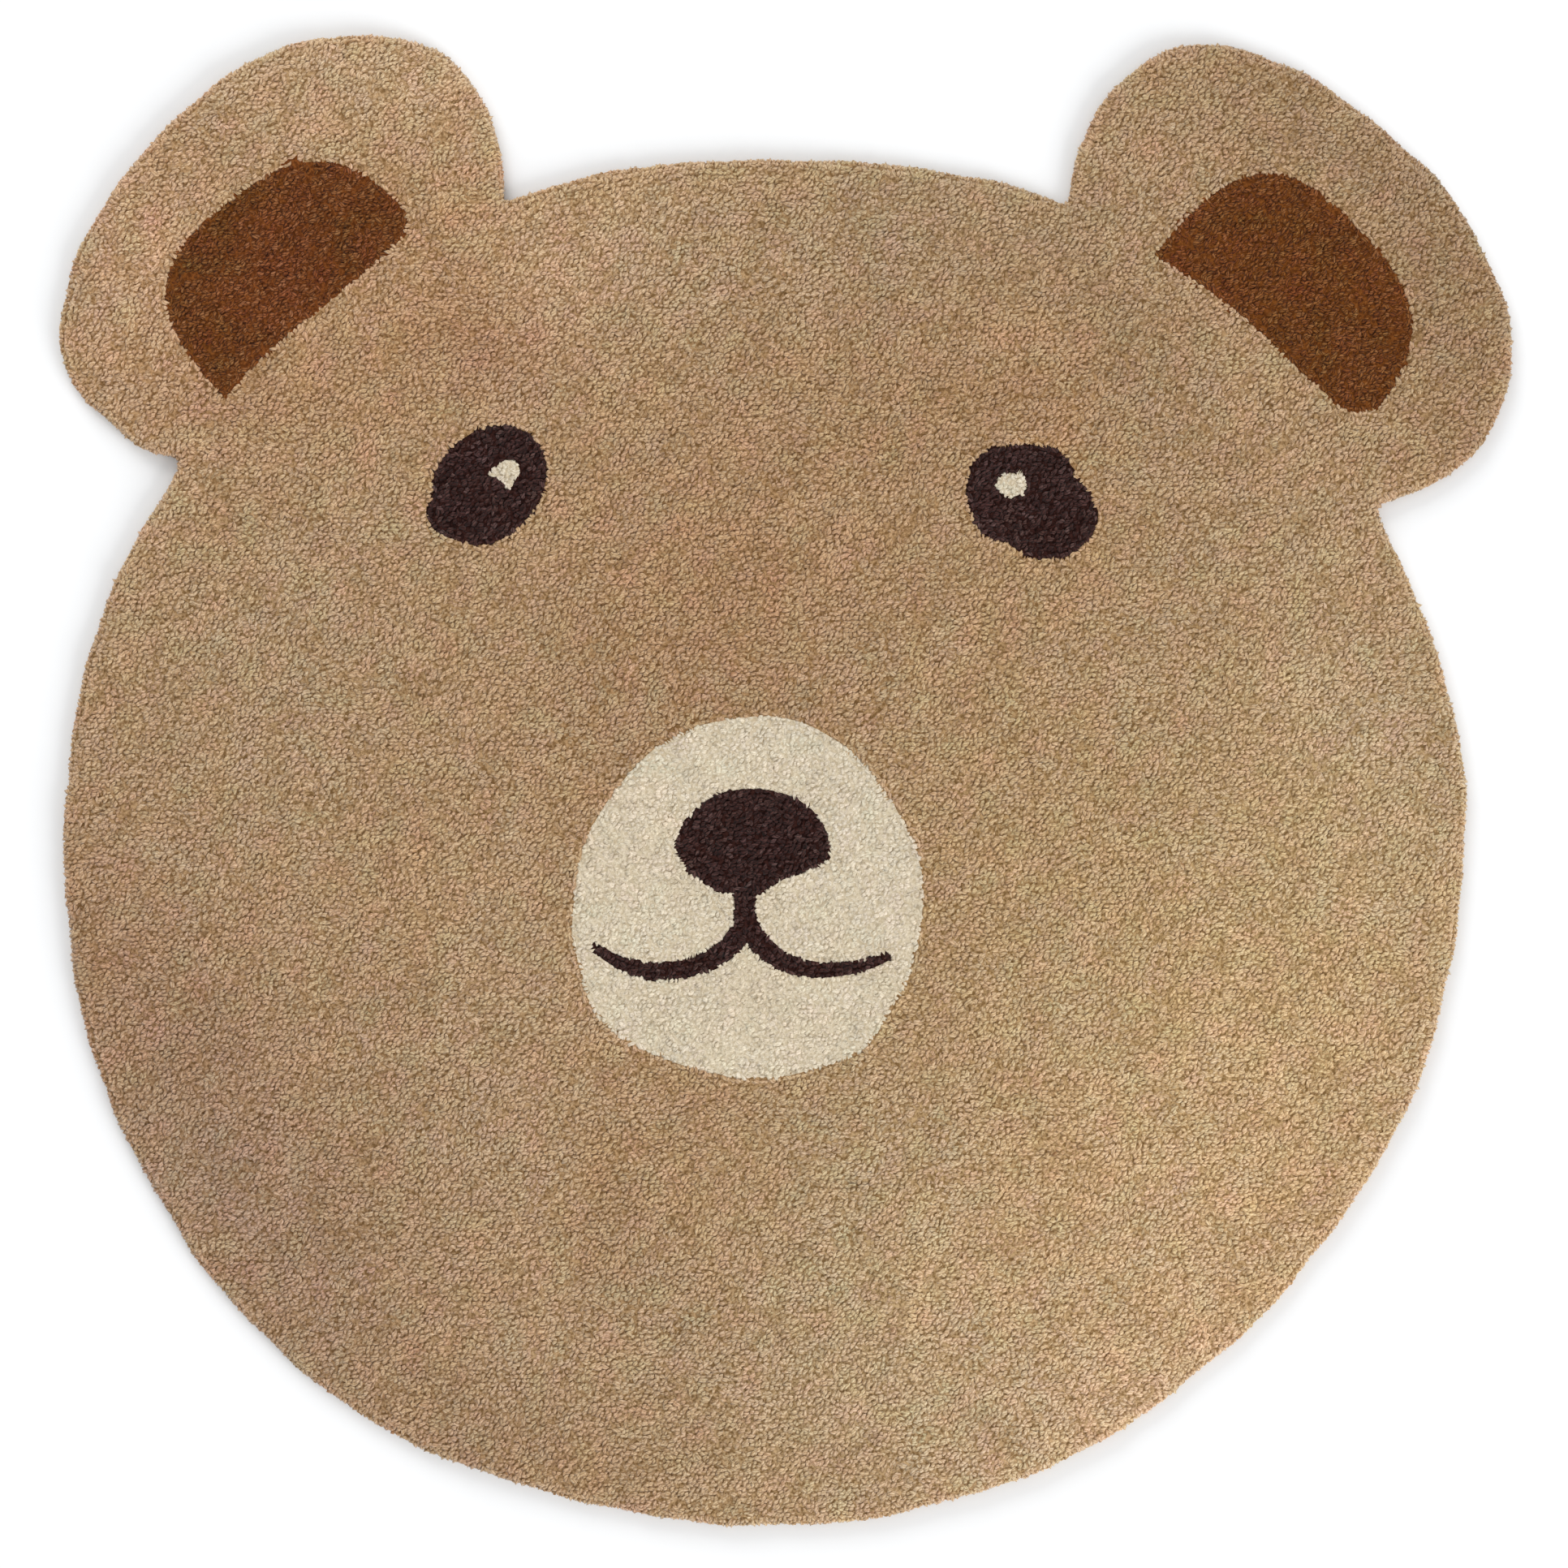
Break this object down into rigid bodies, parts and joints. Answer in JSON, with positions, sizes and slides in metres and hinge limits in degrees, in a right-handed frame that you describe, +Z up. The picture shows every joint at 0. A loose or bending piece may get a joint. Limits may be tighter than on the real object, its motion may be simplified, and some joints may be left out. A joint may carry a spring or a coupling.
{
  "type": "bear shaped kids rug",
  "caption": "Flat tufted cotton rug cut to the outline of a bear's head with round ears, its face worked in other colours of the same pile, to lie on a floor.",
  "frame": {"origin": "middle of the underside, on the floor that the rug lies on", "axes": "+Z up from the floor, +Y from the chin to the crown of the head, +X to the right as seen from above"},
  "size_m": [1.0994, 1.1278, 0.016],
  "materials": {
    "tan_pile": "matte tufted cotton pile, sandy tan",
    "cream_pile": "matte tufted cotton pile, cream",
    "dark_brown_pile": "matte tufted cotton pile, dark brown",
    "rust_brown_pile": "matte tufted cotton pile, rust brown"
  },
  "bodies": {
    "root": {"tufted_rug": "tan_pile"}
  },
  "joints": []
}
